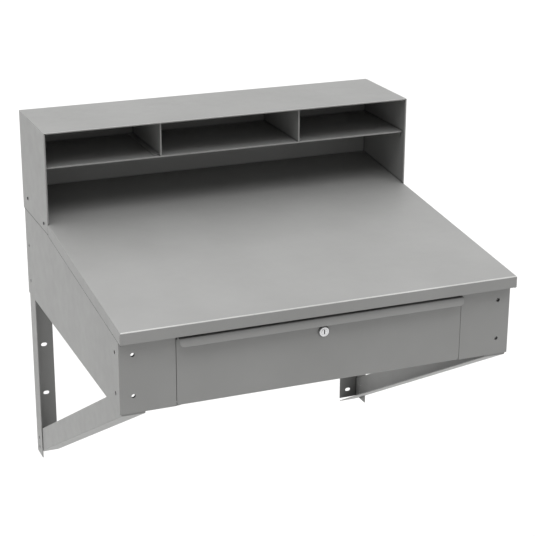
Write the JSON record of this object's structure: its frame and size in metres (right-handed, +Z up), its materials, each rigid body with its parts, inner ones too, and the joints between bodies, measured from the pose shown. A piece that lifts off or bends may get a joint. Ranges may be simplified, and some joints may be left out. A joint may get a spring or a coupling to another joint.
{
  "type": "wall-mounted shop desk",
  "caption": "Wall-mounted sheet steel desk with a sloping top, a locking drawer on rollers, a pigeonhole riser and braced, slotted wall posts.",
  "frame": {"origin": "centre of the wall slot pattern, on the wall plane behind the posts", "axes": "+X to the right along the wall as seen from the front, +Y to the wall, +Z up; the drawer opens towards -Y"},
  "size_m": [0.8802, 0.759, 0.8667],
  "materials": {
    "body_paint": "satin medium grey powder coat",
    "lock_chrome": "satin chrome",
    "zinc_steel": "bright zinc plate",
    "black_screw": "black oxide",
    "roller_nylon": "natural nylon",
    "bumper_rubber": "matt black rubber"
  },
  "bodies": {
    "desk": {"desktop": "body_paint", "desktop_stiffener": "body_paint", "side_panel_left": "body_paint", "side_panel_right": "body_paint", "front_rail": "body_paint", "rear_rail": "body_paint", "drawer_hanger_left": "body_paint", "drawer_hanger_right": "body_paint", "riser_top": "body_paint", "riser_side_left": "body_paint", "riser_side_right": "body_paint", "riser_back": "body_paint", "riser_shelf": "body_paint", "riser_divider_left": "body_paint", "riser_divider_right": "body_paint", "riser_screws": "black_screw", "wall_post_left": "body_paint", "wall_post_right": "body_paint", "brace_left": "body_paint", "brace_right": "body_paint", "slide_channel_left": "zinc_steel", "slide_channel_right": "zinc_steel", "channel_roller_pins": "zinc_steel", "drawer_bumpers": "bumper_rubber"},
    "drawer": {"drawer_front": "body_paint", "drawer_tray": "body_paint", "drawer_back": "body_paint", "slide_runner_left": "zinc_steel", "slide_runner_right": "zinc_steel", "runner_roller_pins": "zinc_steel", "lock_housing": "lock_chrome", "lock_nut": "zinc_steel"},
    "lock_core": {"lock_plug": "lock_chrome", "lock_cam": "zinc_steel", "lock_cam_screw": "zinc_steel"},
    "channel_roller_left": {"channel_roller_left": "roller_nylon"},
    "channel_roller_right": {"channel_roller_right": "roller_nylon"},
    "runner_roller_left": {"runner_roller_left": "roller_nylon"},
    "runner_roller_right": {"runner_roller_right": "roller_nylon"}
  },
  "joints": [
    {"name": "drawer_slide", "type": "slide", "parent": "desk", "child": "drawer", "axis": [0, -1, 0], "range_m": [0, 0.4]},
    {"name": "lock_turn", "type": "hinge", "parent": "drawer", "child": "lock_core", "pos_m": [0, -0.72, 0.2537], "axis": [0, -1, 0], "range_deg": [0, 90]},
    {"name": "channel_roller_left_spin", "type": "hinge", "parent": "desk", "child": "channel_roller_left", "pos_m": [-0.31, -0.7, 0.2002], "axis": [1, 0, 0], "continuous": true},
    {"name": "channel_roller_right_spin", "type": "hinge", "parent": "desk", "child": "channel_roller_right", "pos_m": [0.31, -0.7, 0.2002], "axis": [1, 0, 0], "continuous": true},
    {"name": "runner_roller_left_spin", "type": "hinge", "parent": "drawer", "child": "runner_roller_left", "pos_m": [-0.31, -0.19, 0.2], "axis": [1, 0, 0], "continuous": true},
    {"name": "runner_roller_right_spin", "type": "hinge", "parent": "drawer", "child": "runner_roller_right", "pos_m": [0.31, -0.19, 0.2], "axis": [1, 0, 0], "continuous": true}
  ],
  "couplings": [
    {"joint": "channel_roller_left_spin", "follows": "drawer_slide", "rad_per_m": 83.333},
    {"joint": "channel_roller_right_spin", "follows": "drawer_slide", "rad_per_m": 83.333},
    {"joint": "runner_roller_left_spin", "follows": "drawer_slide", "rad_per_m": 83.333},
    {"joint": "runner_roller_right_spin", "follows": "drawer_slide", "rad_per_m": 83.333}
  ]
}
